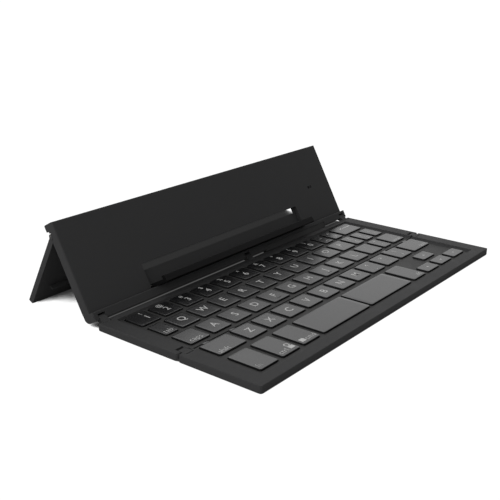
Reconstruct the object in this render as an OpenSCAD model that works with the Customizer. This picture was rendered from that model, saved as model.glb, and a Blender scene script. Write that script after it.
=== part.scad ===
// Folding keyboard: two key panels and a stand panel that close into a slim bar.
// The front panel turns over onto the rear panel, keys to keys, on two short links.
// The stand panel then folds forward over both, on three links and a cable cover.
// A ledge and a rear leg fold out of the stand panel and hold a phone or a tablet.
// Everything is drawn open on the table at z = 0, with +Y to the rear. The front
// panel's front edge lies at y = 0 until the last step centres the whole keyboard.

/* [Panels] */
// Width of the keyboard, the same for all three panels
width = 227; // [215:1:240]
// Thickness of a key panel, from its underside to its rim
panel_t = 3.7; // [3.7:0.05:4.2]
// Height of the rubber feet under the key panels
feet_h = 0.25; // [0.2:0.05:0.6]
// Thickness of a tray's floor
floor_t = 0.5; // [0.4:0.05:0.6]
// Gap between the two key panels at their seam
seam_gap = 0.2; // [0.15:0.05:0.3]
// Width of the border left and right of the keys
side_border = 8.9; // [8.5:0.1:10]
// Width of the border in front of the keys
front_border = 6.6; // [4:0.1:10]
// Width of the border behind the keys
rear_border = 4.2; // [4.1:0.1:5]
// Depth of the sloping underside along the rear panel's front edge
heel_depth = 2.9; // [2:0.1:4]
// Height of that slope
heel_h = 0.8; // [0.5:0.1:1]
// Radius of a panel's upright corners
corner_r = 1.7; // [1:0.1:2.5]
// Radius of a panel's long and short edges
edge_r = 0.5; // [0.3:0.1:0.7]

/* [Deck and boards] */
// Depth of the deck below the rim
deck_drop = 1.25; // [1.15:0.05:1.4]
// Thickness of the deck plate between the keys
deck_t = 0.6; // [0.5:0.05:0.7]
// How far each deck plate ends before the seam, which leaves a groove over it
deck_seam_in = 0.3; // [0.2:0.05:0.4]
// Thickness of the circuit board on a tray's floor
board_t = 0.3; // [0.2:0.05:0.4]
// Thickness of the rubber dome sheet on that board
sheet_t = 0.1; // [0.1:0.05:0.15]
// Radius of a dome
dome_r = 2.4; // [1.5:0.1:2.8]
// Gap around a plate or a cover in its seat
fit_gap = 0.05; // [0.03:0.01:0.1]

/* [Keys] */
// Width and depth of a letter key
key_w = 12.95; // [12.5:0.05:13.4]
// Width of a narrow key
narrow_w = 7.8; // [7:0.1:8.6]
// Width of the first key of the number row
first_w = 13.1; // [12.5:0.1:13.5]
// Width of the delete key
delete_w = 18.8; // [17:0.1:20]
// Width of the tab key
tab_w = 8.4; // [7:0.1:9]
// Width of the caps key
caps_w = 13.3; // [12:0.1:14]
// Width of the enter key
enter_w = 12.8; // [12:0.1:14]
// Width of the left shift key
shift_l_w = 19.1; // [18:0.1:20]
// Width of the right shift key
shift_r_w = 18.8; // [18:0.1:20]
// Width of the small keys of the bottom row
bottom_w = 13; // [12.4:0.1:13.4]
// Width of each half of the space bar
space_w = 42.25; // [41:0.25:43.5]
// Gap between the two halves of the space bar
space_gap = 1.9; // [1:0.1:3]
// Depth of the bottom row's keys
bottom_d = 19.1; // [18:0.1:20]
// Depth of an arrow key
arrow_d = 7.8; // [7:0.1:8.5]
// Gap between two arrow keys
arrow_gap = 3.2; // [2.5:0.1:4]
// Distance from the outermost key to the side border
key_margin = 3.85; // [2:0.05:4.5]
// Distance from the front border to the bottom row
front_margin = 3.7; // [2:0.1:5]
// Gap between the bottom row and the next one
bottom_gap = 4.2; // [3:0.1:5]
// Distance from a row of keys to the seam, on the front panel
seam_margin_front = 1.6; // [1.2:0.1:3]
// Distance from a row of keys to the seam, on the rear panel
seam_margin_rear = 3; // [1.6:0.1:4]
// Gap between two rows of letters
row_gap = 3.15; // [2.5:0.05:4]
// Distance from the number row to the rear border
rear_margin = 1.4; // [1:0.1:3]
// Distance from the top of a key to the rim
key_drop = 0.45; // [0.4:0.05:0.7]
// Travel of a key
key_travel = 0.9; // [0.7:0.05:0.9]
// Gap between a key and its hole in the deck
key_gap = 0.5; // [0.3:0.05:0.6]
// Radius of a key's corners
key_r = 1; // [0.6:0.1:1.5]
// Thickness of a key's top
key_top_t = 0.55; // [0.4:0.05:0.6]
// Thickness of a key's side walls
key_wall = 0.9; // [0.6:0.1:1.2]

/* [Seam links] */
// Distance of the link pins below the rim, and so the radius of the seam's edges
pin_drop = 1; // [1:0.05:1.2]
// Radius of all link pins
link_pin_r = 0.45; // [0.35:0.05:0.5]
// Half the length of a seam link
seam_link_half = 2.7; // [2.4:0.1:2.9]
// Thickness of a seam link
seam_link_t = 1.95; // [1.7:0.05:2]
// Width of a link
link_w = 4.4; // [3.5:0.1:5]
// Distance of the outer links from the panels' ends
link_inset = 3; // [2.5:0.1:3.2]
// Gap on each side of a link
link_gap = 0.3; // [0.2:0.05:0.35]
// Length of the pins beyond a link's sides
pin_stub = 1.1; // [0.8:0.05:1.15]
// Length of the open slot behind a seam link
link_slot = 1.4; // [0.5:0.1:1.6]

/* [Stand panel] */
// Lean of the stand panel from upright, in degrees
lean = 29; // [25:0.5:33]
// Distance from the rear panel's rear edge to the crease of the stand panel
crease_back = 5.95; // [5.75:0.05:6.2]
// Height of the crease above the table
crease_z = 7.35; // [7.2:0.05:7.6]
// Height of the stand panel above its crease
stand_h = 48.9; // [48:0.1:52]
// Thickness of the stand panel at its sides
stand_t = 5.1; // [5:0.1:5.4]
// Thickness of the stand panel in front of the leg
stand_core = 3.45; // [3.4:0.05:3.6]
// Thickness of the side walls beside the leg
stand_side = 1; // [0.8:0.1:1.4]
// Thickness of the stand panel's front skin
skin_t = 0.8; // [0.7:0.05:0.9]
// Thickness of the head rail along the top
head_t = 7; // [6.8:0.1:7.2]
// Height of the head rail
head_h = 3.7; // [3.4:0.1:4]
// Step of the foot in front of the stand panel's face
foot_step = 2.9; // [2.8:0.05:3]
// Height of the foot below the crease
foot_h = 5; // [4.8:0.1:5.2]
// Drop of the foot's top face below the crease
foot_drop = 0.2; // [0.15:0.05:0.25]
// Radius of the foot's rear edge
foot_r = 3.5; // [3:0.1:3.6]
// Radius of the stand panel's upright front edges
stand_edge_r = 0.8; // [0.5:0.1:1]

/* [Stand links] */
// Distance of the stand link's front pin from the rear panel's rear edge
stand_pin_in = 1.05; // [1:0.05:1.1]
// Radius of a stand link at its front pin
stand_link_r1 = 1; // [0.9:0.05:1]
// Radius of a stand link at its rear pin
stand_link_r2 = 1.55; // [1.4:0.05:1.6]
// Height of the rear pin above the foot's bottom
stand_pin_up = 1; // [0.9:0.05:1.1]
// Gap above a stand link in the foot's face
stand_link_slot = 0.7; // [0.65:0.05:0.8]
// Offset of the middle link from the centre line
middle_link_x = 6.6; // [0:0.1:15]
// Distance of the cable cover from the panel's right end
cover_in = 25.7; // [12:0.1:28]
// Length of the cable cover
cover_w = 63.9; // [40:0.1:75]
// Radius of the cable cover's nose
cover_r = 2.35; // [2.2:0.05:2.4]
// Depth of the cable cover's face behind the foot's face
cover_sink = 0.4; // [0.3:0.05:0.8]

/* [Ledge] */
// Length of the ledge
ledge_w = 135.2; // [120:0.2:136]
// Clear depth for the phone between the ledge's lip and the stand panel
ledge_depth = 8.4; // [8:0.1:10]
// Thickness of the ledge's lip
lip_t = 2.3; // [1.8:0.1:2.4]
// Height of the lip's top edge above the crease
lip_h = 4; // [3.8:0.1:4.2]
// Forward slope of the lip, from its top to its foot
lip_slope = 0.7; // [0:0.1:1]
// Thickness of the ledge's plate
ledge_t = 2; // [1.8:0.1:2]
// Height and depth of the ledge's pivot behind the stand panel's face
ledge_pivot = 1.1; // [1.1:0.05:1.15]
// Radius of the ledge's pivot pins
ledge_pin_r = 0.4; // [0.3:0.05:0.5]
// Gap around the closed ledge in its recess
ledge_gap = 0.2; // [0.2:0.05:0.3]
// Gap at each end of the ledge
ledge_end_gap = 2.3; // [0.5:0.1:3]

/* [Leg] */
// Distance from the leg's pivot to its end
leg_len = 46.8; // [44:0.1:47]
// Thickness of the leg
leg_t = 3.15; // [3:0.05:3.2]
// Height of the leg's pivot above the crease
pivot_up = 42.4; // [42.2:0.1:42.8]
// Radius of the pivot pin
leg_pin_r = 0.7; // [0.5:0.05:0.8]
// Gap beside the leg and in front of it when closed
leg_gap = 0.2; // [0.1:0.05:0.3]
// Radius of the hollow around the leg's barrel
hollow_r = 1.9; // [1.85:0.05:2]
// Width of a knuckle of the stand panel on the pivot pin
knuckle_w = 8; // [5:0.5:12]
// Distance of the knuckles from the centre line
knuckle_x = [30, 84]; // [25:1:90]
// Distance from the pivot to the two rails on the leg
rail_at = 37.2; // [36.8:0.1:37.6]
// Height of a rail
rail_h = 2.5; // [2:0.1:2.55]
// Thickness of a rail
rail_t = 1; // [0.8:0.1:1.2]
// Length of a rail
rail_w = 32; // [10:0.5:33]
// Radius of the rubber strip along the leg's end
strip_r = 0.7; // [0.5:0.05:0.8]

/* [Electronics] */
// Length of the battery
battery_w = 120; // [80:1:130]
// Offset of the battery from the centre line, to the left
battery_off = 20; // [10:1:25]
// Thickness of the battery
battery_t = 1.9; // [1.5:0.05:1.9]
// Length of the main board
main_board_w = 36; // [25:1:40]
// Thickness of the main board
main_board_t = 0.8; // [0.6:0.05:1]
// Width of the charging port
port_w = 7.5; // [7:0.1:8]
// Thickness of the charging port
port_t = 2.2; // [2:0.05:2.2]
// Length of the charging port
port_l = 5.5; // [5:0.1:6]
// Height of the charging port's middle above the crease
port_up = 30; // [24:0.5:33]
// Thickness of the port's metal shell
port_shell = 0.3; // [0.2:0.05:0.35]
// Radius of the status light
led_r = 0.5; // [0.4:0.05:0.8]
// Distance of the status light from the panel's right end
led_in = 23.5; // [15:0.5:28]
// Height of the status light above the crease
led_up = 22.7; // [21:0.1:26]

/* [Hidden] */
$fn = 48;

half = width / 2;
eps = 0.01;
far = 20;                 // longer than any cut needs to be
stop_gap = 0.05;          // what is left under a pressed key
pin_press = 0.02;         // gap between a pin and the piece that it turns with
pin_run = 0.05;           // gap between a pin and the piece that turns on it
small_r = 0.3;            // radius of inner corners

// Heights of the key panels
rim = feet_h + panel_t;
deck_top = rim - deck_drop;
deck_bottom = deck_top - deck_t;
floor_top = feet_h + floor_t;
board_top = floor_top + board_t;
sheet_top = board_top + sheet_t;
key_top = rim - key_drop;
key_bottom = sheet_top + key_travel + stop_gap;
dome_top = key_top - key_top_t - key_travel - stop_gap;

// Places of the key rows, from the front edge to the rear edge
inner_half = half - side_border;
field_half = inner_half - key_margin;
bottom_y = front_border + front_margin;
lower_y = bottom_y + bottom_d + bottom_gap;
front_depth = lower_y + key_w + seam_margin_front;
rear_y0 = front_depth + seam_gap;
home_y = rear_y0 + seam_margin_rear;
upper_y = home_y + key_w + row_gap;
number_y = upper_y + key_w + row_gap;
rear_inner = number_y + key_w + rear_margin;
rear_y1 = rear_inner + rear_border;
ledge_in = 0.6;           // width of the step that the deck rests on
seam_wall = 0.7;          // thickness of a tray's wall along the seam

// Seam links: two pins on each, one in either panel, just below the rim
seam_y = front_depth + seam_gap / 2;
pin_z = rim - pin_drop;
pin_half = pin_drop + seam_gap / 2;
link_x = half - link_inset - link_w / 2;
link_lower = seam_link_t - pin_drop;
link_end = seam_link_half - pin_half;
link_swing = norm([link_end, max(pin_drop, link_lower)]) + 0.15;

// The stand panel's frame has its origin on the crease: depth and height in it
crease_y = rear_y1 + crease_back;
function stand_yz(d, s) = [crease_y + s * sin(lean) + d * cos(lean),
                           crease_z + s * cos(lean) - d * sin(lean)];
head_s = stand_h - head_h;
pin1 = [rear_y1 - stand_pin_in, rim - stand_link_r1];
pin2_d = stand_link_r2 - foot_step;
pin2_s = stand_pin_up - foot_h;
pin2 = stand_yz(pin2_d, pin2_s);
stand_link_x = [-link_x, middle_link_x, link_x];
cover_half = 1.6;         // half the height of the cable cover's face
cover_x = half - cover_in - cover_w;

// Ledge: its lip passes through a window when it is turned up into its recess
recess_half = ledge_w / 2 + ledge_end_gap;
lip_out = ledge_depth + lip_t + lip_slope;
lip_reach = norm([lip_out + ledge_pivot, ledge_t / 2]);
window_s0 = ledge_pivot * 2 + ledge_depth - ledge_gap;
window_s1 = ledge_pivot + lip_reach + ledge_gap;
window_half = ledge_w / 2 + 0.7;
lip_r = 0.5;              // radius of the lip's front edges
ledge_pin_in = 2.5;       // depth of a pivot pin in the ledge
ledge_pin_out = 1.5;      // depth of a pivot pin in the stand panel

// Leg: its angle sets the rubber strip on the table
leg_half = half - stand_side - leg_gap;
pivot_d = stand_core + leg_gap + leg_t / 2;
pivot = stand_yz(pivot_d, pivot_up);
leg_end_r = 0.4;
barrel_r = leg_t / 2 - 0.1;   // radius of the barrel's ends, beside the leg
strip_l = leg_len - 0.25;
strip_h = leg_t / 2 - strip_r - 0.1;
strip_in = 4;             // distance of the strip's ends from the leg's
leg_angle = atan2(strip_h, strip_l)
            + acos((pivot[1] - strip_r) / norm([strip_l, strip_h]));
depth = pivot[0] + (leg_len - leg_end_r) * sin(leg_angle)
        + (leg_t / 2 - leg_end_r) * cos(leg_angle) + leg_end_r;
rail_x = recess_half + 2;
knuckle_half = 1.3;       // half the height of a knuckle's root

// Electronics bay of the stand panel, behind its front skin
cover_t = 0.6;            // thickness of the stand panel's back cover
bay_back = stand_core - cover_t;
cover_s0 = window_s1 + 1.5;
cover_s1 = pivot_up - hollow_r - 1;
cover_half_x = half - stand_side - 3;
bay_s0 = cover_s0 + 1;
bay_s1 = cover_s1 - 1;
bay_half = cover_half_x - 1.5;
bay_gap = 0.5;            // gap above and below what lies in the bay
port_d = (bay_back - port_t) / 2 + 0.2;
port_in = 0.1;            // depth of the port's mouth in the panel's side
port_tongue = 0.5;        // thickness of the tongue in the port
port_x = half - port_l - port_in;
led_x = half - led_in;
main_board_d = bay_back - main_board_t - 0.4;

// Colours
case_colour = [0.22, 0.22, 0.23];
deck_colour = [0.27, 0.26, 0.27];
key_colour = [0.11, 0.11, 0.12];
metal_colour = [0.6, 0.6, 0.62];
rubber_colour = [0.08, 0.08, 0.08];

// ---- key layout: each key is [left, front, right, rear] ----
function sum(v, n) = n <= 0 ? 0 : v[n - 1] + sum(v, n - 1);
function letters(n) = [for (i = [1:n]) key_w];
function key_row(widths, y) =
    let (n = len(widths), gap = (2 * field_half - sum(widths, n)) / (n - 1))
    [for (i = [0:n - 1]) let (x = -field_half + sum(widths, i) + i * gap)
        [x, y, x + widths[i], y + key_w]];
function slice(v, a, b) = [for (i = [a:b]) v[i]];

lower_row = key_row(concat([shift_l_w], letters(10), [shift_r_w]), lower_y);
home_row = key_row(concat([caps_w], letters(10), [narrow_w, enter_w]), home_y);
upper_row = key_row(concat([tab_w], letters(10), [narrow_w, narrow_w, narrow_w]), upper_y);
number_row = key_row(concat([first_w], letters(9), [narrow_w, narrow_w, delete_w]), number_y);

bottom_space = (2 * field_half - 7 * bottom_w - 2 * space_w - space_gap - 2 * arrow_gap) / 5;
bottom_widths = [bottom_w, bottom_w, bottom_w, space_w, space_w, bottom_w, bottom_w,
                 bottom_w, bottom_w];
bottom_gaps = [bottom_space, bottom_space, bottom_space, space_gap, bottom_space,
               bottom_space, arrow_gap, arrow_gap, 0];
bottom_row = [for (i = [0:8])
    let (x = -field_half + sum(bottom_widths, i) + sum(bottom_gaps, i),
         d = i > 5 ? arrow_d : bottom_d)
    [x, bottom_y, x + bottom_widths[i], bottom_y + d]];
up_key = [bottom_row[7][0], bottom_y + bottom_d - arrow_d, bottom_row[7][2],
          bottom_y + bottom_d];
front_keys = concat(bottom_row, [up_key], lower_row);
rear_keys = concat(home_row, upper_row, number_row);
home_bar_keys = [home_row[4], home_row[7]];

// ---- outlines ----
function arc(c, r, a0, a1, n = 6) =
    r <= 0 ? [c] : [for (i = [0:n]) let (a = a0 + (a1 - a0) * i / n)
        [c[0] + r * cos(a), c[1] + r * sin(a)]];
// A rectangle with a radius for each corner, from the lower left one round
function round_rect(x0, y0, x1, y1, r, n = 6) = concat(
    arc([x0 + r[0], y0 + r[0]], r[0], 180, 270, n),
    arc([x1 - r[1], y0 + r[1]], r[1], 270, 360, n),
    arc([x1 - r[2], y1 - r[2]], r[2], 0, 90, n),
    arc([x0 + r[3], y1 - r[3]], r[3], 90, 180, n));
function grown(k, by) = [k[0] - by, k[1] - by, k[2] + by, k[3] + by];
function key_outline(k, r, n = 4) = round_rect(k[0], k[1], k[2], k[3], [r, r, r, r], n);
// Two circles and the straight sides that touch both
function capsule(c1, r1, c2, r2) =
    let (v = c2 - c1, a = atan2(v[1], v[0]), b = acos((r1 - r2) / norm(v)))
    concat(arc(c1, r1, a + b, a + 360 - b, 24), arc(c2, r2, a - b, a + b, 24));

// ---- placing ----
// The whole keyboard, centred over the origin
module placed() {
    translate([0, -depth / 2, 0]) children();
}
// Extrudes an outline drawn in (y, z) from x0 to x1
module along_x(x0, x1) {
    translate([x0, 0, 0]) rotate([90, 0, 90]) linear_extrude(x1 - x0) children();
}
// Extrudes an outline drawn in (x, z) from y0 to y1
module along_y(y0, y1) {
    translate([0, y1, 0]) rotate([90, 0, 0]) linear_extrude(y1 - y0) children();
}
module rod_x(r, x0, x1, c) {
    translate([x0, c[0], c[1]]) rotate([0, 90, 0]) cylinder(r = r, h = x1 - x0);
}
module box(a, b) {
    translate(a) cube(b - a);
}
// The stand panel's frame: x, depth and height from the crease
module on_stand() {
    translate([0, crease_y, crease_z]) rotate([-lean, 0, 0]) children();
}
// The leg's frame: origin on the pivot, with the leg hanging down
module on_leg() {
    translate([0, pivot[0], pivot[1]]) rotate([leg_angle, 0, 0]) children();
}
module both_sides() {
    children();
    mirror([1, 0, 0]) children();
}

// ---- key panels ----
// A block with rounded edges: its section is given in (y, z)
module panel_block(y0, y1, section) {
    intersection() {
        along_x(-half, half) polygon(section);
        translate([0, 0, feet_h]) linear_extrude(panel_t)
            polygon(round_rect(-half, y0, half, y1, [corner_r, corner_r, corner_r, corner_r]));
        along_y(y0, y1)
            polygon(round_rect(-half, feet_h, half, rim, [edge_r, edge_r, edge_r, edge_r]));
    }
}
// Room for the key field: the deck's seat, and the boards below it
module key_well(y0, y1, c0, c1) {
    translate([0, 0, deck_bottom]) linear_extrude(far)
        polygon(round_rect(-inner_half, y0, inner_half, y1, [1, 1, 1, 1]));
    box([ledge_in - inner_half, c0, floor_top], [inner_half - ledge_in, c1, deck_top]);
}
// Room for a seam link's swing, and the bores of its pins
module seam_pocket(y0, y1, pin_y) {
    both_sides() {
        box([link_x - link_w / 2 - link_gap, y0, pin_z - link_swing],
            [link_x + link_w / 2 + link_gap, y1, rim + 1]);
        rod_x(link_pin_r + pin_run, link_x - link_w / 2 - pin_stub - stop_gap,
              link_x + link_w / 2 + pin_stub + stop_gap, [pin_y, pin_z]);
    }
}
module front_tray() {
    section = round_rect(0, feet_h, front_depth, rim, [edge_r, small_r, pin_drop, edge_r]);
    color(case_colour) placed() difference() {
        panel_block(0, front_depth, section);
        key_well(front_border, front_depth + 2, front_border + ledge_in,
                 front_depth - seam_wall);
        seam_pocket(seam_y - pin_half - link_swing, front_depth + 1, seam_y - pin_half);
    }
}
module rear_tray() {
    section = concat(
        [[rear_y0, feet_h + heel_h], [rear_y0 + heel_depth, feet_h]],
        arc([rear_y1 - edge_r, feet_h + edge_r], edge_r, 270, 360),
        arc([rear_y1 - stand_edge_r, rim - stand_edge_r], stand_edge_r, 0, 90),
        arc([rear_y0 + pin_drop, rim - pin_drop], pin_drop, 90, 180));
    color(case_colour) placed() difference() {
        panel_block(rear_y0, rear_y1, section);
        key_well(rear_y0 - 2, rear_inner, rear_y0 + seam_wall, rear_inner - ledge_in);
        seam_pocket(rear_y0 - 1, seam_y + max(seam_link_half + link_slot, pin_half + link_swing),
                    seam_y + pin_half);
        for (x = stand_link_x) {
            box([x - link_w / 2 - link_gap, pin1[0] - stand_link_r1 - link_gap,
                 pin1[1] - stand_link_r1 - link_gap],
                [x + link_w / 2 + link_gap, rear_y1 + 1, rim + 1]);
            rod_x(link_pin_r + pin_run, x - link_w / 2 - pin_stub - stop_gap,
                  x + link_w / 2 + pin_stub + stop_gap, pin1);
        }
    }
}
// Plate with a hole round each key
module deck(y0, y1, keys) {
    r = 1 - fit_gap;
    translate([0, 0, deck_bottom]) linear_extrude(deck_t) difference() {
        polygon(round_rect(fit_gap - inner_half, y0, inner_half - fit_gap, y1, [r, r, r, r]));
        for (k = keys) polygon(key_outline(grown(k, key_gap), key_r + key_gap));
    }
}
module front_deck() {
    color(deck_colour) placed() intersection() {
        deck(front_border + fit_gap, front_depth + 2, front_keys);
        box([-half, 0, 0], [half, front_depth - deck_seam_in, rim]);
    }
}
module rear_deck() {
    color(deck_colour) placed() intersection() {
        deck(rear_y0 - 2, rear_inner - fit_gap, rear_keys);
        box([-half, rear_y0 + deck_seam_in, 0], [half, rear_y1, rim]);
    }
}
module board(y0, y1) {
    x = inner_half - ledge_in - fit_gap;
    box([-x, y0 + fit_gap, floor_top], [x, y1 - fit_gap, board_top]);
}
module front_board() {
    color("darkgreen") placed()
        board(front_border + ledge_in, front_depth - seam_wall);
}
module rear_board() {
    color("darkgreen") placed() board(rear_y0 + seam_wall, rear_inner - ledge_in);
}
// Dome sheet, with each dome drawn at its pressed height
module domes(y0, y1, keys) {
    x = inner_half - ledge_in - fit_gap;
    box([-x, y0 + fit_gap, board_top], [x, y1 - fit_gap, sheet_top]);
    for (k = keys)
        translate([(k[0] + k[2]) / 2, (k[1] + k[3]) / 2, sheet_top - eps])
            cylinder(r = dome_r, h = dome_top - sheet_top + eps);
}
module front_domes() {
    color("gainsboro") placed()
        domes(front_border + ledge_in, front_depth - seam_wall, front_keys);
}
module rear_domes() {
    color("gainsboro") placed()
        domes(rear_y0 + seam_wall, rear_inner - ledge_in, rear_keys);
}
// Four pads under a panel
foot_pad = [18, 3];
foot_in = 2.5;
module feet(y0, y1) {
    x = half - side_border - foot_pad[0];
    both_sides() for (y = [y0, y1 - foot_pad[1]]) translate([x, y, 0])
        linear_extrude(feet_h)
            polygon(round_rect(0, 0, foot_pad[0], foot_pad[1], [1, 1, 1, 1]));
}
module front_feet() {
    color(rubber_colour) placed() feet(foot_in, front_depth - foot_in);
}
module rear_feet() {
    color(rubber_colour) placed() feet(rear_y0 + heel_depth + foot_in, rear_y1 - foot_in);
}

// ---- keys ----
module key_cap(k) {
    difference() {
        translate([0, 0, key_bottom]) linear_extrude(key_top - key_bottom)
            polygon(key_outline(k, key_r));
        translate([0, 0, key_bottom - 1]) linear_extrude(key_top - key_top_t - key_bottom + 1)
            polygon(key_outline(grown(k, -key_wall), small_r, 1));
    }
}
module keys(list) {
    color(key_colour) placed() for (k = list) key_cap(k);
}
// The low bar that a finger finds on two keys of the home row: length, depth, height
home_bar = [3.6, 0.5, 0.15];
home_bar_in = 2;          // its distance from the key's front edge
module home_bars() {
    for (k = home_bar_keys)
        translate([(k[0] + k[2] - home_bar[0]) / 2, k[1] + home_bar_in, key_top - eps])
            cube([home_bar[0], home_bar[1], home_bar[2] + eps]);
}
module key_fn() { keys([bottom_row[0]]); }
module key_ctrl() { keys([bottom_row[1]]); }
module key_cmd() { keys([bottom_row[2]]); }
module key_space_left() { keys([bottom_row[3]]); }
module key_space_right() { keys([bottom_row[4]]); }
module key_alt() { keys([bottom_row[5]]); }
module key_left() { keys([bottom_row[6]]); }
module key_down() { keys([bottom_row[7]]); }
module key_right() { keys([bottom_row[8]]); }
module key_up() { keys([up_key]); }
module key_shift_left() { keys([lower_row[0]]); }
module key_shift_right() { keys([lower_row[11]]); }
module key_caps() { keys([home_row[0]]); }
module key_enter() { keys([home_row[12]]); }
module key_tab() { keys([upper_row[0]]); }
module key_delete() { keys([number_row[12]]); }
module keys_lower_row() { keys(slice(lower_row, 1, 10)); }
module keys_home_row() {
    keys(slice(home_row, 1, 11));
    color(key_colour) placed() home_bars();
}
module keys_upper_row() { keys(slice(upper_row, 1, 13)); }
module keys_number_row() { keys(slice(number_row, 0, 11)); }

// ---- links ----
module seam_links() {
    r = [0.6, 0.6, small_r, small_r];
    color(case_colour) placed() both_sides() difference() {
        along_x(link_x - link_w / 2, link_x + link_w / 2)
            polygon(round_rect(seam_y - seam_link_half, rim - seam_link_t,
                               seam_y + seam_link_half, rim, r));
        for (y = [seam_y - pin_half, seam_y + pin_half])
            rod_x(link_pin_r + pin_press, link_x - link_w, link_x + link_w, [y, pin_z]);
    }
}
module link_pin(x, c) {
    rod_x(link_pin_r, x - link_w / 2 - pin_stub, x + link_w / 2 + pin_stub, c);
}
module seam_link_pins() {
    color(metal_colour) placed() both_sides()
        for (y = [seam_y - pin_half, seam_y + pin_half]) link_pin(link_x, [y, pin_z]);
}
module stand_links() {
    color(case_colour) placed() for (x = stand_link_x) difference() {
        along_x(x - link_w / 2, x + link_w / 2)
            polygon(capsule(pin1, stand_link_r1, pin2, stand_link_r2));
        for (c = [pin1, pin2]) rod_x(link_pin_r + pin_press, x - link_w, x + link_w, c);
    }
}
module stand_link_pins() {
    color(metal_colour) placed()
        for (x = stand_link_x) for (c = [pin1, pin2]) link_pin(x, c);
}

// ---- stand panel ----
module stand_block() {
    foot = round_rect(-foot_step, -foot_h, stand_t, -foot_drop, [edge_r, foot_r, 0, edge_r]);
    upper = concat([[0, -foot_drop], [stand_t, -foot_drop], [stand_t, head_s]],
        arc([head_t - 0.6, head_s + 0.6], 0.6, 270, 360),
        arc([head_t - 1, stand_h - 1], 1, 0, 90),
        arc([0.6, stand_h - 0.6], 0.6, 90, 180));
    r = [stand_edge_r, stand_edge_r, small_r, small_r];
    intersection() {
        along_x(-half, half) polygon(foot);
        translate([0, 0, -far]) linear_extrude(far * 5)
            polygon(round_rect(-half, -foot_step, half, stand_t, r));
    }
    intersection() {
        along_x(-half, half) polygon(upper);
        translate([0, 0, -far]) linear_extrude(far * 5)
            polygon(round_rect(-half, 0, half, head_t, r));
    }
}
// Seat of the closed leg, with the hollow round its barrel
module leg_seat() {
    w = half - stand_side;
    box([-w, stand_core, -far], [w, far, head_s]);
    rod_x(hollow_r, -half - 1, half + 1, [pivot_d, pivot_up]);
    along_x(-half - 1, half + 1) polygon([
        [pivot_d - hollow_r * 0.7, pivot_up - hollow_r * 0.7], [stand_t, pivot_up - 3.5],
        [far, pivot_up - 3.5], [far, pivot_up + hollow_r + 0.2],
        [pivot_d, pivot_up + hollow_r]]);
    s = pivot_up - rail_at;
    both_sides() box([rail_x - leg_gap, stand_core - rail_h - stop_gap, s - rail_t / 2 - 0.5],
                     [rail_x + rail_w + leg_gap, far, s + rail_t / 2 + 0.5]);
}
module ledge_seat() {
    back = ledge_pivot + ledge_t / 2 + ledge_gap;
    low = ledge_pivot - ledge_t / 2 - ledge_gap;
    r = ledge_t / 2 + ledge_gap;
    along_x(-recess_half, recess_half)
        polygon(round_rect(-1, low, back, window_s1, [0, r, small_r, 0]));
    box([-window_half, -1, window_s0], [window_half, far, window_s1]);
    rod_x(ledge_pin_r + pin_run, -recess_half - ledge_pin_out - stop_gap,
          recess_half + ledge_pin_out + stop_gap, [ledge_pivot, ledge_pivot]);
}
module stand_link_seats() {
    r = stand_link_r2 + stand_link_slot;
    for (x = stand_link_x) {
        x0 = x - link_w / 2 - link_gap;
        x1 = x + link_w / 2 + link_gap;
        rod_x(r, x0, x1, [pin2_d, pin2_s]);
        box([x0, -foot_step - 1, -foot_h - 2], [x1, pin2_d, pin2_s + r]);
        rod_x(link_pin_r + pin_run, x0 + link_gap - pin_stub - stop_gap,
              x1 - link_gap + pin_stub + stop_gap, [pin2_d, pin2_s]);
    }
}
module knuckle(x) {
    difference() {
        union() {
            rod_x(leg_t / 2 - 0.05, x - knuckle_w / 2, x + knuckle_w / 2, [pivot_d, pivot_up]);
            box([x - knuckle_w / 2, pivot_d - hollow_r - small_r, pivot_up - knuckle_half],
                [x + knuckle_w / 2, pivot_d, pivot_up + knuckle_half]);
        }
        rod_x(leg_pin_r + pin_run, x - knuckle_w, x + knuckle_w, [pivot_d, pivot_up]);
    }
}
module stand_shell() {
    color(case_colour) placed() on_stand() {
        difference() {
            stand_block();
            leg_seat();
            ledge_seat();
            stand_link_seats();
            box([cover_x - fit_gap, -foot_step - 1, -foot_h - 2],
                [cover_x + cover_w + fit_gap, pin2_d + cover_half + fit_gap,
                 pin2_s + cover_half + fit_gap]);
            box([-bay_half, skin_t, bay_s0], [bay_half, far, bay_s1]);
            box([-cover_half_x, bay_back, cover_s0], [cover_half_x, far, cover_s1]);
            box([port_x - fit_gap, port_d - fit_gap, port_up - port_w / 2 - fit_gap],
                [half + 1, port_d + port_t + fit_gap, port_up + port_w / 2 + fit_gap]);
            translate([led_x, 0, led_up]) rotate([-90, 0, 0])
                translate([0, 0, -1]) cylinder(r = led_r + pin_press, h = 3);
        }
        both_sides() for (x = knuckle_x) knuckle(x);
    }
}
module stand_back() {
    x = cover_half_x - fit_gap;
    color(case_colour) placed() on_stand()
        box([-x, bay_back, cover_s0 + fit_gap], [x, stand_core, cover_s1 - fit_gap]);
}
// Nose that hides the flat cable between the rear panel and the stand panel
module cable_cover() {
    color(rubber_colour) placed() on_stand() intersection() {
        rod_x(cover_r, cover_x, cover_x + cover_w, [pin2_d, pin2_s]);
        box([cover_x - 1, cover_sink - foot_step, -far],
            [cover_x + cover_w + 1, pin2_d + cover_half, pin2_s + cover_half]);
    }
}
module battery() {
    color("silver") placed() on_stand()
        box([-battery_w / 2 - battery_off, skin_t, bay_s0 + bay_gap],
            [battery_w / 2 - battery_off, skin_t + battery_t, bay_s1 - bay_gap]);
}
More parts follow.
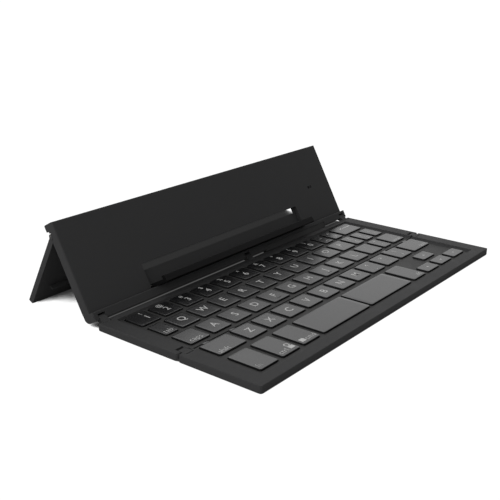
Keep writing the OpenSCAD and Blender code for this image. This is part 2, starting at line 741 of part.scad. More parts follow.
// Chips on the main board: distance from its left end and from its top, length, height
chips = [[3, 3, 10, 8], [16, 4, 5, 5]];
module main_board() {
    x1 = port_x - fit_gap;
    x0 = x1 - main_board_w;
    chip_d = skin_t + 2 * fit_gap;
    color("darkgreen") placed() on_stand() {
        box([x0, main_board_d, bay_s0 + bay_gap],
            [x1, main_board_d + main_board_t, bay_s1 - bay_gap]);
        for (c = chips)
            box([x0 + c[0], chip_d, bay_s1 - c[1] - c[3]],
                [x0 + c[0] + c[2], main_board_d + eps, bay_s1 - c[1]]);
    }
}
module charging_port() {
    s0 = port_up - port_w / 2;
    s1 = port_up + port_w / 2;
    mid = port_d + port_t / 2;
    color(metal_colour) placed() on_stand() {
        difference() {
            box([port_x, port_d, s0], [half - port_in, port_d + port_t, s1]);
            box([port_x + 2 * port_shell, port_d + port_shell, s0 + port_shell],
                [half, port_d + port_t - port_shell, s1 - port_shell]);
        }
        box([port_x, mid - port_tongue / 2, s0 + 1], [half - 1.2, mid + port_tongue / 2, s1 - 1]);
    }
}
module status_light() {
    color("white") placed() on_stand() translate([led_x, 0, led_up]) rotate([-90, 0, 0])
        cylinder(r = led_r, h = main_board_d);
}

// ---- ledge ----
module ledge() {
    top = ledge_pivot + ledge_t / 2;
    low = ledge_pivot - ledge_t / 2;
    root = ledge_depth + lip_slope * (lip_h - top) / (lip_h - low);
    section = concat(
        arc([ledge_pivot, ledge_pivot], ledge_t / 2, -90, 90, 16),
        [[-root, top], [-ledge_depth, lip_h - small_r], [-ledge_depth - small_r, lip_h]],
        arc([lip_r - ledge_depth - lip_t, lip_h - lip_r], lip_r, 90, 170),
        arc([lip_r - lip_out, low + lip_r], lip_r, 170, 270));
    color(case_colour) placed() on_stand() difference() {
        along_x(-ledge_w / 2, ledge_w / 2) polygon(section);
        both_sides() rod_x(ledge_pin_r + pin_press, ledge_w / 2 - ledge_pin_in - stop_gap,
                           ledge_w, [ledge_pivot, ledge_pivot]);
    }
}
module ledge_pins() {
    color(metal_colour) placed() on_stand() both_sides()
        rod_x(ledge_pin_r, ledge_w / 2 - ledge_pin_in, recess_half + ledge_pin_out,
              [ledge_pivot, ledge_pivot]);
}

// ---- leg ----
module leg() {
    t = leg_t / 2;
    r = leg_end_r;
    section = concat(arc([0, 0], t, 0, 180, 16), arc([r - t, r - leg_len], r, 180, 270),
                     arc([t - r, r - leg_len], r, 270, 360));
    color(case_colour) placed() on_leg() difference() {
        union() {
            along_x(-leg_half, leg_half) polygon(section);
            rod_x(barrel_r, leg_gap - half, half - leg_gap, [0, 0]);
            both_sides() box([rail_x, -t - rail_h, -rail_at - rail_t / 2],
                             [rail_x + rail_w, eps - t, -rail_at + rail_t / 2]);
        }
        both_sides() for (x = knuckle_x)
            box([x - knuckle_w / 2 - leg_gap, -far, -hollow_r - small_r],
                [x + knuckle_w / 2 + leg_gap, far, far]);
        box([-window_half, -far, window_s0 - pivot_up],
            [window_half, lip_h + ledge_gap - pivot_d, window_s1 - pivot_up]);
        rod_x(leg_pin_r + pin_press, -half, half, [0, 0]);
        rod_x(strip_r, strip_in - leg_half, leg_half - strip_in, [-strip_h, -strip_l]);
    }
}
module leg_pin() {
    color(metal_colour) placed() on_leg() rod_x(leg_pin_r, leg_gap - half, half - leg_gap, [0, 0]);
}
module leg_strip() {
    color(rubber_colour) placed() on_leg()
        rod_x(strip_r, strip_in - leg_half, leg_half - strip_in, [-strip_h, -strip_l]);
}

front_tray();
front_deck();
front_board();
front_domes();
front_feet();
rear_tray();
rear_deck();
rear_board();
rear_domes();
rear_feet();
seam_links();
seam_link_pins();
stand_links();
stand_link_pins();
stand_shell();
stand_back();
cable_cover();
battery();
main_board();
charging_port();
status_light();
ledge();
ledge_pins();
leg();
leg_pin();
leg_strip();
key_fn();
key_ctrl();
key_cmd();
key_space_left();
key_space_right();
key_alt();
key_left();
key_down();
key_right();
key_up();
key_shift_left();
key_shift_right();
key_caps();
key_enter();
key_tab();
key_delete();
keys_lower_row();
keys_home_row();
keys_upper_row();
keys_number_row();
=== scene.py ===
import math
import bpy
import numpy as np
from mathutils import Matrix, Vector


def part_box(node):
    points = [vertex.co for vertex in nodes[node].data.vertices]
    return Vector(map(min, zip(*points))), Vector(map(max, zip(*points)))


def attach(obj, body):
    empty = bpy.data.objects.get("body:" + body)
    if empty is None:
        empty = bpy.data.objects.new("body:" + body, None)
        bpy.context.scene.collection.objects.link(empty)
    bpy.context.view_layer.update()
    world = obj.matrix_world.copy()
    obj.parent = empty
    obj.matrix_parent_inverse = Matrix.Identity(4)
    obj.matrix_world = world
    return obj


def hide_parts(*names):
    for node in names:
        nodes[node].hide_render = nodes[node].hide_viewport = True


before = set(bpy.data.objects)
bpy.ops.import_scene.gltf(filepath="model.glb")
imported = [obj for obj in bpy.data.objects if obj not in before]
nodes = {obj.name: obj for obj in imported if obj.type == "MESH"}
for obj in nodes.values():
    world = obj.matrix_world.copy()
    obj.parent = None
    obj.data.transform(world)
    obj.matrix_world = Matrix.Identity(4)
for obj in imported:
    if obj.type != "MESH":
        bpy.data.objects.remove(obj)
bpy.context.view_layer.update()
mm = 0.001
for cad_node in nodes.values():
    cad_node.data.materials.clear()


# ---- Camera ----
# A plain lens of about 61 mm looks down on the open keyboard from its front left.
# Its place is in the keyboard's frame, and its roll is the small tilt of a hand-set
# tripod head.
CAMERA_AT = (-0.36529, -0.27316, 0.17683)
CAMERA_YAW = 51.39
CAMERA_PITCH = 19.40
CAMERA_ROLL = 0.18
CAMERA_LENS = 61.37

camera = bpy.data.objects.new("camera", bpy.data.cameras.new("camera"))
camera.data.lens = CAMERA_LENS
camera.data.sensor_width = 36
camera.data.clip_start = 0.01
camera.matrix_world = (Matrix.Translation(CAMERA_AT)
                       @ Matrix.Rotation(math.radians(-CAMERA_YAW), 4, "Z")
                       @ Matrix.Rotation(math.radians(90 - CAMERA_PITCH), 4, "X")
                       @ Matrix.Rotation(math.radians(CAMERA_ROLL), 4, "Z"))
bpy.context.scene.collection.objects.link(camera)
bpy.context.scene.camera = camera
bpy.context.scene.view_settings.view_transform = "Standard"


# ---- Floor and light ----
# A seamless pale sweep is seen burnt out to white and throws little light up. What the
# camera sees of it is a glow with painted shade under the keyboard, made from ambient
# occlusion, and a painted line of light under the slit behind the rear panel. One large
# soft light above and a smaller one on the left add form; the room is white behind and
# beside the keyboard, dark in front.
FLOOR_HALF = 6.0
FLOOR_WHITE = 0.55        # what it gives back to the keyboard
FLOOR_SEEN = 1.05         # what is seen of it where nothing shades it
FLOOR_DEEP = 0.030        # what is left of it in the deepest shade
SHADE_REACH = 0.100       # how far a thing shades the floor under it
SHADE_POWER = 5.0         # how steeply the shade lets up towards its end
# the share of open sky at which the painted shade ends, in front and behind the stand on the left;
# between these two values of y - x, in metres, it goes over from the first to the second
SHADE_ENDS = (0.45, 0.16)
SHADE_TURNS = (0.115, 0.155)
# a painted line of light on the dark floor, below the slit behind the rear panel
SLIT_Y = 0.0310
SLIT_LIGHT, SLIT_DARK = 0.085, 0.010
SLIT_LINE = (0.0003, 0.0009)      # half its width where it is full and where it ends
SLIT_ZONE = (0.006, 0.010)        # how far the dark on both sides of it reaches
ROOM_BACK, ROOM_FRONT, ROOM_TOP = 1.12, 0.31, 0.60
ROOM_SEEN = 1.2           # what the camera sees of it
ROOM_TURN = (-0.9, 0.4)   # y of the directions where the front ends and the back begins
ROOM_LIFT = (0.5, 1.0)    # z of the directions where the walls end and the top begins
# softboxes: name, power in watts, width in metres, place
SOFTBOXES = (("softbox_above", 6.0, 1.6, (0.5, 0.9, 1.5)),
             ("softbox_left", 4.2, 0.8, (-0.9, -0.15, 0.45)))


def add_object(name, mesh):
    """A new object at the origin, with its place in its mesh."""
    thing = bpy.data.objects.new(name, mesh)
    bpy.context.scene.collection.objects.link(thing)
    return thing


def new_material(name):
    """A material with an empty node tree, ready for its nodes."""
    material = bpy.data.materials.new(name)
    material.use_nodes = True
    material.node_tree.nodes.clear()
    return material, material.node_tree


def add_node(tree, kind, inputs=None, **settings):
    """A node of that kind, with settings and input values given by name or number."""
    node = tree.nodes.new(kind)
    for key, value in settings.items():
        setattr(node, key, value)
    for key, value in (inputs or {}).items():
        if isinstance(value, bpy.types.NodeSocket):
            tree.links.new(value, node.inputs[key])
        else:
            node.inputs[key].default_value = value
    return node


def place_in(tree):
    """The object coordinates of a surface, in metres."""
    return add_node(tree, "ShaderNodeTexCoord").outputs["Object"]


def combine(tree, how, *values):
    """One Math node on two or three values, and its output."""
    return add_node(tree, "ShaderNodeMath", dict(enumerate(values)), operation=how).outputs[0]


def spread(tree, value, low, high, out_low=0.0, out_high=1.0, way="LINEAR"):
    """Carries low to high over to out_low to out_high, held at both ends, in a straight
    line or, with SMOOTHSTEP as the way, in a soft S."""
    return add_node(tree, "ShaderNodeMapRange",
                    {"Value": value, "From Min": low, "From Max": high,
                     "To Min": out_low, "To Max": out_high}, interpolation_type=way).outputs[0]


floor_mesh = bpy.data.meshes.new("floor")
floor_mesh.from_pydata([(-FLOOR_HALF, -FLOOR_HALF, 0), (FLOOR_HALF, -FLOOR_HALF, 0),
                        (FLOOR_HALF, FLOOR_HALF, 0), (-FLOOR_HALF, FLOOR_HALF, 0)],
                       [], [(0, 1, 2, 3)])
floor = add_object("floor", floor_mesh)
paper, tree = new_material("white_paper")
open_sky = add_node(tree, "ShaderNodeAmbientOcclusion", {"Distance": SHADE_REACH},
                    samples=32).outputs["AO"]
floor_xyz = add_node(tree, "ShaderNodeSeparateXYZ", {"Vector": place_in(tree)}).outputs
back_left = combine(tree, "SUBTRACT", floor_xyz["Y"], floor_xyz["X"])
shade_end = spread(tree, back_left, *SHADE_TURNS, *SHADE_ENDS)
# painted shade: the glow that the camera sees falls off where things shade the floor
sky = combine(tree, "MINIMUM", combine(tree, "DIVIDE", open_sky, shade_end), 1.0)
lit = combine(tree, "MULTIPLY", combine(tree, "POWER", sky, SHADE_POWER), FLOOR_SEEN)
# painted light: a line of glow along the slit's y, in the dark under the stand
from_slit = combine(tree, "ABSOLUTE", combine(tree, "SUBTRACT", floor_xyz["Y"], SLIT_Y))
slit_line = spread(tree, from_slit, *SLIT_LINE, SLIT_LIGHT, SLIT_DARK)
deep = spread(tree, from_slit, *SLIT_ZONE, slit_line, FLOOR_DEEP)
burnt = combine(tree, "MAXIMUM", lit, deep)
matt = add_node(tree, "ShaderNodeBsdfDiffuse",
                {"Color": (FLOOR_WHITE, FLOOR_WHITE, FLOOR_WHITE, 1)})
white = add_node(tree, "ShaderNodeEmission", {"Strength": burnt})
seen = add_node(tree, "ShaderNodeLightPath").outputs["Is Camera Ray"]
sweep = add_node(tree, "ShaderNodeMixShader", {0: seen, 1: matt.outputs[0], 2: white.outputs[0]})
add_node(tree, "ShaderNodeOutputMaterial", {"Surface": sweep.outputs[0]})
floor_mesh.materials.append(paper)

room = bpy.data.worlds.new("room")
bpy.context.scene.world = room
room.use_nodes = True
tree = room.node_tree
tree.nodes.clear()
ray = add_node(tree, "ShaderNodeTexCoord").outputs["Generated"]
towards = add_node(tree, "ShaderNodeSeparateXYZ", {0: ray}).outputs
wall = spread(tree, towards["Y"], *ROOM_TURN, ROOM_FRONT, ROOM_BACK, "SMOOTHSTEP")
upward = spread(tree, towards["Z"], *ROOM_LIFT, way="SMOOTHSTEP")
shade = add_node(tree, "ShaderNodeMix", {0: upward, 2: wall, 3: ROOM_TOP})
seen = add_node(tree, "ShaderNodeLightPath").outputs["Is Camera Ray"]
shown = add_node(tree, "ShaderNodeMix", {0: seen, 2: shade.outputs[0], 3: ROOM_SEEN})
light_of_room = add_node(tree, "ShaderNodeBackground", {"Color": (1, 1, 1, 1),
                         "Strength": shown.outputs[0]})
add_node(tree, "ShaderNodeOutputWorld", {"Surface": light_of_room.outputs[0]})

for name, power, width, place in SOFTBOXES:
    softbox = bpy.data.objects.new(name, bpy.data.lights.new(name, "AREA"))
    softbox.data.energy = power
    softbox.data.size = width
    softbox.matrix_world = (Matrix.Translation(place)
                            @ Vector(place).to_track_quat("Z", "Y").to_matrix().to_4x4())
    bpy.context.scene.collection.objects.link(softbox)


# ---- Trays ----
# The front and the rear tray are the two lower shells: thin-walled boxes moulded in
# black ABS with a fine spark-eroded grain. Handling polishes the grain away on their
# outer edges, which then shine a little.
CASE_COLOUR = (0.034, 0.034, 0.0345)
CASE_ROUGHNESS = 0.52
CASE_SHINE = 0.06
CASE_GRAIN = 0.22         # millimetres from pit to pit
CASE_GRAIN_DEPTH = 0.012
CASE_EDGE = 0.10          # rounding of its outer edges
DUST_COLOUR = (0.35, 0.34, 0.32)
PLASTIC_DUSTY = 0.10
WEAR_RADIUS = 0.35        # millimetres from an edge to the end of its wear
RUBBED = (2.2, 0.01)      # a rubbed edge's colour is the face's times this, and this more
# points nearer than this, in millimetres, are one; faces that turn by less than this, in
# degrees, are one; and edges that turn by more than this, in degrees, are rounded
WELD_WITHIN, FLAT_WITHIN, EDGES_OVER = 0.001, 0.5, 40
EDGE_STEPS = 2


def group_of(name, inputs, outputs):
    """A new shader node group with float inputs (name: default) and the named outputs."""
    group = bpy.data.node_groups.new(name, "ShaderNodeTree")
    for key, value in inputs.items():
        socket = group.interface.new_socket(key, in_out="INPUT", socket_type="NodeSocketFloat")
        socket.default_value = value
    for key in outputs:
        group.interface.new_socket(key, in_out="OUTPUT", socket_type="NodeSocketFloat")
    return group, group.nodes.new("NodeGroupInput"), group.nodes.new("NodeGroupOutput")


def send(group, result, **values):
    """Joins values in a group to its named outputs."""
    for key, value in values.items():
        group.links.new(value, result.inputs[key])


def use_group(tree, group, inputs):
    """The outputs of a node group that is placed in a material with its own values."""
    return add_node(tree, "ShaderNodeGroup", inputs, node_tree=group).outputs


def noise(tree, place, scale, detail, **more):
    """Fractal noise from 0 to 1 with that many waves a metre and that many finer layers."""
    return add_node(tree, "ShaderNodeTexNoise", {"Vector": place, "Scale": scale,
                    "Detail": detail, **more}).outputs["Fac"]


def blend(tree, share, first, second):
    """The first colour where the share is 0 and the second where it is 1, mixed between."""
    first, second = (colour if isinstance(colour, bpy.types.NodeSocket) else (*colour, 1)
                     for colour in (first, second))
    return add_node(tree, "ShaderNodeMix", {0: share, 6: first, 7: second},
                    data_type="RGBA").outputs[2]


def bump(tree, height, strength, depth):
    """The normal of a surface that rises by the height times that depth in millimetres."""
    return add_node(tree, "ShaderNodeBump", {"Height": height, "Strength": strength,
                    "Distance": depth * mm}).outputs[0]


def surface(tree, inputs):
    """A Principled surface with those inputs, joined to the material's output."""
    shader = add_node(tree, "ShaderNodeBsdfPrincipled", inputs)
    add_node(tree, "ShaderNodeOutputMaterial", {"Surface": shader.outputs[0]})


# Moulded grain: rounded pits of the given size in millimetres with a finer roughness in
# them, a slow unevenness of gloss, and a few faint smears of finger grease on top.
moulded_grain, given, result = group_of("moulded_grain", {"Grain mm": 0.2, "Smear mm": 14.0},
                                        ("Height", "Gloss", "Smear"))
place = place_in(moulded_grain)
per_mm = combine(moulded_grain, "DIVIDE", 1000.0, given.outputs["Grain mm"])
per_smear = combine(moulded_grain, "DIVIDE", 1000.0, given.outputs["Smear mm"])
pits = add_node(moulded_grain, "ShaderNodeTexVoronoi", {"Vector": place, "Scale": per_mm},
                feature="SMOOTH_F1").outputs["Distance"]
fine = noise(moulded_grain, place, per_mm, 3.0)
slow = noise(moulded_grain, place, per_smear, 4.0, Roughness=0.6, Distortion=0.6)
send(moulded_grain, result, Height=combine(moulded_grain, "ADD", pits, fine),
     Gloss=spread(moulded_grain, fine, 0.3, 0.7, -1.0, 1.0),
     Smear=spread(moulded_grain, slow, 0.45, 0.75))

# Edge wear: 1 on edges sharper than the bevel radius and 0 on faces, broken up so that
# the rubbed line is never even.
edge_wear, given, result = group_of("edge_wear", {"Broken": 0.6}, ("Wear",))
rounded = add_node(edge_wear, "ShaderNodeBevel", {"Radius": WEAR_RADIUS * mm}, samples=4).outputs[0]
face = add_node(edge_wear, "ShaderNodeNewGeometry").outputs["Normal"]
turned = add_node(edge_wear, "ShaderNodeVectorMath", {0: rounded, 1: face},
                  operation="DOT_PRODUCT").outputs["Value"]
patchy = combine(edge_wear, "MULTIPLY", noise(edge_wear, place_in(edge_wear), 220.0, 5.0),
                 given.outputs["Broken"])
send(edge_wear, result,
     Wear=combine(edge_wear, "MULTIPLY", spread(edge_wear, turned, 0.99, 0.80), patchy))

# Dust: pale specks on faces that look up, more where the slow noise is high.
dust, given, result = group_of("dust", {"Amount": 0.3}, ("Dust",))
place = place_in(dust)
specks = add_node(dust, "ShaderNodeTexVoronoi", {"Vector": place, "Scale": 1400.0})
face = add_node(dust, "ShaderNodeNewGeometry").outputs["Normal"]
facing_up = spread(dust, add_node(dust, "ShaderNodeSeparateXYZ", {0: face}).outputs["Z"], 0.3, 0.9)
settled = combine(dust, "MULTIPLY", spread(dust, specks.outputs["Distance"], 0.22, 0.05),
                  spread(dust, noise(dust, place, 60.0, 3.0), 0.5, 0.75))
settled = combine(dust, "MULTIPLY", settled, facing_up)
send(dust, result, Dust=combine(dust, "MULTIPLY", settled, given.outputs["Amount"]))


def plastic(name, colour, roughness, grain, grain_depth, shine, wear_and_highlight=0.5):
    """Moulded plastic: grained, a little uneven in gloss, and polished on its edges."""
    material, tree = new_material(name)
    skin = use_group(tree, moulded_grain, {"Grain mm": grain})
    wear = use_group(tree, edge_wear, {"Broken": wear_and_highlight})[0]
    specks = use_group(tree, dust, {"Amount": PLASTIC_DUSTY})[0]
    # the rubbed edge is lighter: edge wear, and on the ledge, where its share is turned up, also a
    # painted highlight
    rubbed_colour = tuple(min(1.0, c * RUBBED[0] + RUBBED[1]) for c in colour)
    gloss = combine(tree, "MULTIPLY_ADD", skin["Gloss"], 0.04, roughness)
    gloss = combine(tree, "MULTIPLY_ADD", skin["Smear"], -0.06, gloss)
    gloss = combine(tree, "MULTIPLY_ADD", wear, -0.15, gloss)
    surface(tree, {"Base Color": blend(tree, specks, blend(tree, wear, colour, rubbed_colour),
                                       DUST_COLOUR),
                   "Roughness": gloss, "Specular IOR Level": shine,
                   "Normal": bump(tree, skin["Height"], 1.0, grain_depth)})
    return material


def finish_node(node, material, edge):
    """Gives a CAD node its finish: its loose triangles are welded, its flat ones dissolved,
    and its edges rounded by that many millimetres, before it gets its material."""
    piece = nodes[node]
    weld = piece.modifiers.new("weld", "WELD")
    weld.merge_threshold = WELD_WITHIN * mm
    flat = piece.modifiers.new("flat", "DECIMATE")
    flat.decimate_type = "DISSOLVE"
    flat.angle_limit = math.radians(FLAT_WITHIN)
    if edge:
        rim = piece.modifiers.new("rim", "BEVEL")
        rim.width = edge * mm
        rim.segments = EDGE_STEPS
        rim.limit_method = "ANGLE"
        rim.angle_limit = math.radians(EDGES_OVER)
        rim.use_clamp_overlap = True
        rim.miter_outer = "MITER_ARC"
    normals = piece.modifiers.new("normals", "WEIGHTED_NORMAL")
    normals.keep_sharp = False
    piece.data.materials.append(material)


case_plastic = plastic("case_plastic", CASE_COLOUR, CASE_ROUGHNESS, CASE_GRAIN,
                       CASE_GRAIN_DEPTH, CASE_SHINE)
for tray in ("front_tray", "rear_tray"):
    finish_node(tray, case_plastic, CASE_EDGE)


# ---- Feet ----
# Four thin pads under each panel, die-cut from black silicone rubber and stuck on.
# Their skin is dull and slightly bloomed, and picks up dust.
RUBBER_COLOUR = (0.014, 0.014, 0.014)
RUBBER_ROUGHNESS = 0.72
RUBBER_DUST = (0.32, 0.31, 0.29)
FOOT_DUSTY = 0.25
FOOT_EDGE = 0.05


def rubber(name, colour, roughness, dusty):
    """Dull rubber: a fine closed skin, cloudy with bloom, and dusty where it looks up."""
    material, tree = new_material(name)
    place = place_in(tree)
    cloud = noise(tree, place, 260.0, 6.0, Roughness=0.65)
    bloom = blend(tree, spread(tree, cloud, 0.4, 0.8), colour, tuple(c * 1.7 for c in colour))
    specks = use_group(tree, dust, {"Amount": dusty})[0]
    surface(tree, {"Base Color": blend(tree, specks, bloom, RUBBER_DUST),
                   "Roughness": combine(tree, "MULTIPLY_ADD", cloud, 0.12, roughness - 0.06),
                   "Specular IOR Level": 0.35,
                   "Normal": bump(tree, noise(tree, place, 5200.0, 2.0), 0.8, 0.008)})
    return material


foot_rubber = rubber("foot_rubber", RUBBER_COLOUR, RUBBER_ROUGHNESS, FOOT_DUSTY)
for feet in ("front_feet", "rear_feet"):
    finish_node(feet, foot_rubber, FOOT_EDGE)


# ---- Circuit boards ----
# Thin glass-fibre boards on the floor of each tray and in the stand panel. Green solder
# mask covers copper tracks, which show through it a little lighter and stand proud.
MASK_COLOUR = (0.008, 0.085, 0.030)
TRACK_COLOUR = (0.030, 0.170, 0.060)
GOLD_COLOUR = (0.62, 0.42, 0.15)
KEY_TRACKS = 2.2          # millimetres from track to track
BOARD_EDGE = 0            # its edges are sawn and stay sharp


def circuit_board(name, track_mm):
    """Solder mask over tracks: the tracks are the joints of a brick pattern of that size,
    and the gold pads are the middles of the cells of a coarser Voronoi pattern."""
    material, tree = new_material(name)
    place = place_in(tree)
    tracks = add_node(tree, "ShaderNodeTexBrick",
                      {"Vector": place, "Scale": 1000.0 / track_mm, "Mortar Size": 0.035,
                       "Mortar Smooth": 0.3, "Brick Width": 2.4, "Row Height": 0.55},
                      offset=0.37, squash=0.7, squash_frequency=3).outputs["Fac"]
    spots = add_node(tree, "ShaderNodeTexVoronoi", {"Vector": place, "Scale": 210.0,
                     "Randomness": 0.8}).outputs["Distance"]
    pads = spread(tree, spots, 0.13, 0.11)
    weave = noise(tree, place, 1500.0, 2.0)
    masked = blend(tree, tracks, MASK_COLOUR, TRACK_COLOUR)
    height = combine(tree, "MULTIPLY_ADD", tracks, 1.0, combine(tree, "MULTIPLY", weave, 0.2))
    surface(tree, {"Base Color": blend(tree, pads, masked, GOLD_COLOUR), "Metallic": pads,
                   "Roughness": combine(tree, "MULTIPLY_ADD", weave, 0.12, 0.26),
                   "Normal": bump(tree, height, 0.7, 0.03)})
    return material


key_board = circuit_board("key_board", KEY_TRACKS)
for board in ("front_board", "rear_board"):
    finish_node(board, key_board, BOARD_EDGE)


# ---- Dome sheets ----
# One sheet of smoky grey silicone per panel with a dome under each key, moulded in one
# piece. It is soft and matt, and cloudy where it is thick.
DOME_COLOUR = (0.085, 0.086, 0.085)
DOME_CLOUD = (0.13, 0.13, 0.125)
DOME_EDGE = 0.15

dome_silicone, tree = new_material("dome_silicone")
cloud = noise(tree, place_in(tree), 180.0, 4.0)
surface(tree, {"Base Color": blend(tree, cloud, DOME_COLOUR, DOME_CLOUD),
               "Roughness": combine(tree, "MULTIPLY_ADD", cloud, 0.2, 0.4),
               "Normal": bump(tree, cloud, 0.3, 0.05)})
for domes in ("front_domes", "rear_domes"):
    finish_node(domes, dome_silicone, DOME_EDGE)


# ---- Decks ----
# A flat plate of black plastic round the keys of each panel, glued onto the step inside
# the tray. Its grain is finer than the case's, so it is a shade smoother.
DECK_COLOUR = (0.026, 0.0258, 0.0255)
DECK_ROUGHNESS = 0.46
DECK_GRAIN, DECK_GRAIN_DEPTH = 0.12, 0.004
DECK_SHINE = 0.09
DECK_WORN = 0.4
DECK_EDGE = 0.08

deck_plastic = plastic("deck_plastic", DECK_COLOUR, DECK_ROUGHNESS, DECK_GRAIN,
                       DECK_GRAIN_DEPTH, DECK_SHINE, DECK_WORN)
for deck in ("front_deck", "rear_deck"):
    finish_node(deck, deck_plastic, DECK_EDGE)


# ---- Links and their pins ----
# Five short arms hold the three panels together, moulded in the black of the case. Each
# turns on two steel pins, drawn and cut from bright wire, whose drawing lines run along them.
STEEL_COLOUR = (0.56, 0.56, 0.57)
STAIN_COLOUR = (0.36, 0.34, 0.32)
PIN_ROUGHNESS = 0.18
LINK_EDGE, PIN_EDGE = 0.08, 0.05


def steel(name, colour, roughness):
    """Drawn steel: lines along x, made by noise that is stretched 40 times along it."""
    material, tree = new_material(name)
    place = place_in(tree)
    drawn = add_node(tree, "ShaderNodeMapping", {"Vector": place,
                     "Scale": (65.0, 2600.0, 2600.0)}).outputs[0]
    lines = noise(tree, drawn, 1.0, 3.0)
    stain = spread(tree, noise(tree, place, 700.0, 4.0), 0.45, 0.8)
    surface(tree, {"Base Color": blend(tree, stain, colour, STAIN_COLOUR), "Metallic": 1.0,
                   "Roughness": combine(tree, "MULTIPLY_ADD", lines, 0.25, roughness),
                   "Normal": bump(tree, lines, 0.4, 0.01)})
    return material


for links in ("seam_links", "stand_links"):
    finish_node(links, case_plastic, LINK_EDGE)
pin_steel = steel("pin_steel", STEEL_COLOUR, PIN_ROUGHNESS)
for pins in ("seam_link_pins", "stand_link_pins"):
    finish_node(pins, pin_steel, PIN_EDGE)


# ---- Key caps ----
# Each key is a shallow hollow cap of smooth black plastic with crisp corners and a top
# that is dished by a few hundredths of a millimetre. Two keys of the home row carry the
# low bar that a finger looks for. Much-used tops are polished in their middle.
KEY_COLOUR = (0.0085, 0.0085, 0.009)
KEY_RUBBED = (0.030, 0.030, 0.031)
KEY_DUST = (0.30, 0.29, 0.28)
KEY_ROUGHNESS = 0.24
KEY_CORNER = 1.0          # radius of a cap's corners, seen from above
HOLLOW_CORNER = 0.3       # the same in the hollow under it
KEY_FILLET = 0.10         # rounding of the edge of its top
KEY_DISH = 0.02           # how far the middle of its top lies below that edge
DISH_SHARES = (0.88, 0.66, 0.36, 0.0)  # the rings of the dish, as shares of the edge's size
KEY_WALL = 0.9
KEY_TOP = 0.55            # thickness of the top
KEY_W, NARROW_W, FIRST_W = 12.95, 7.8, 13.1
# the low bar: its length, depth and height, its distance from the key's front edge, the
# radius of its corners, how far its foot and its underside lie below the edge of the key's
# top, and the points of its own rounded edge: how far in, and how far below the bar's top
BAR_LONG, BAR_DEEP, BAR_HIGH, BAR_BACK = 3.6, 0.5, 0.15, 2.0
BAR_CORNER, BAR_FOOT, BAR_SUNK = 0.22, 0.03, 0.1
BAR_EDGE = ((0.0, 0.08), (0.03, 0.02), (0.10, 0.0))
ROW_WIDTHS = {"keys_lower_row": [KEY_W] * 10,
              "keys_home_row": [KEY_W] * 10 + [NARROW_W],
              "keys_upper_row": [KEY_W] * 10 + [NARROW_W] * 3,
              "keys_number_row": [FIRST_W] + [KEY_W] * 9 + [NARROW_W] * 2}
BARS_ON = {"keys_home_row": (3, 6)}

key_plastic, tree = new_material("key_plastic")
place = place_in(tree)
spot = add_node(tree, "ShaderNodeUVMap", uv_map="top").outputs[0]
from_middle = add_node(tree, "ShaderNodeVectorMath", {0: spot, 1: (0.5, 0.5, 0)},
                       operation="DISTANCE").outputs["Value"]
polish = spread(tree, from_middle, 0.55, 0.10)
sheen = spread(tree, noise(tree, place, 95.0, 5.0, Roughness=0.6), 0.35, 0.7, -1.0, 1.0)
wear = use_group(tree, edge_wear, {"Broken": 0.35})[0]
specks = use_group(tree, dust, {"Amount": 0.05})[0]
gloss = combine(tree, "MULTIPLY_ADD", sheen, 0.02, KEY_ROUGHNESS)
gloss = combine(tree, "MULTIPLY_ADD", polish, -0.03, gloss)
surface(tree, {"Base Color": blend(tree, specks, blend(tree, wear, KEY_COLOUR, KEY_RUBBED),
                                   KEY_DUST),
               "Roughness": gloss,
               "Normal": bump(tree, noise(tree, place, 6500.0, 2.0), 0.5, 0.0015)})


def ring_points(boxes, rings, steps=5):
    """Rings of points round rectangles with rounded corners, one set for each box (x0, y0,
    x1, y1). A ring is (share, inset, radius, height): the box shrinks by the inset on all
    sides, each corner is a quarter circle (cos a, sin a) of that radius, and the ring is
    then drawn in towards the middle of the box until only that share of it is left."""
    share, inset, radius, height = np.array(rings, float).T[:, None, :, None]
    low, high = boxes[:, None, :2], boxes[:, None, 2:]
    turn = np.radians(np.add.outer(np.arange(4) * 90 - 180, np.linspace(0, 90, steps + 1))).ravel()
    side_x = np.repeat([0, 1, 1, 0], steps + 1)
    side_y = np.repeat([0, 0, 1, 1], steps + 1)
    at_x = np.where(side_x, high[..., :1] - inset - radius, low[..., :1] + inset + radius)
    at_y = np.where(side_y, high[..., 1:] - inset - radius, low[..., 1:] + inset + radius)
    middle = (low + high) / 2
    x = middle[..., :1] + share * (at_x + radius * np.cos(turn) - middle[..., :1])
    y = middle[..., 1:] + share * (at_y + radius * np.sin(turn) - middle[..., 1:])
    return np.stack([x, y, np.broadcast_to(height, x.shape)], -1)


def closed_shells(points):
    """Vertices and faces of one closed shell for each set of rings: its first and last ring
    have no size and become one point each, and quads join each ring to the next."""
    sets, rings, count, _ = points.shape
    inner = points[:, 1:-1].reshape(sets, -1, 3)
    verts = np.concatenate([points[:, :1, 0], inner, points[:, -1:, 0]], 1)
    i, j = np.meshgrid(np.arange(rings - 3), np.arange(count), indexing="ij")
    k = (j + 1) % count
    walls = np.stack([i * count + j, i * count + k, (i + 1) * count + k,
                      (i + 1) * count + j], -1).reshape(-1, 4) + 1
    j = np.arange(count)
    k = (j + 1) % count
    last = (rings - 3) * count + 1
    under = np.stack([k + 1, j + 1, np.zeros_like(j)], -1)
    over = np.stack([last + j, last + k, np.full_like(j, inner.shape[1] + 1)], -1)
    step = (np.arange(sets) * verts.shape[1])[:, None, None]
    return (verts.reshape(-1, 3), (walls + step).reshape(-1, 4),
            (np.concatenate([under, over]) + step).reshape(-1, 3))


def mesh_of(name, verts, *faces, sharp=35):
    """A mesh of vertices in millimetres and one or more lists of faces, shaded smooth but
    for edges sharper than that angle in degrees."""
    mesh = bpy.data.meshes.new(name)
    mesh.from_pydata((verts * mm).tolist(), [], [f for some in faces for f in some.tolist()])
    mesh.shade_smooth()
    mesh.set_sharp_from_angle(angle=math.radians(sharp))
    mesh.update()
    return mesh


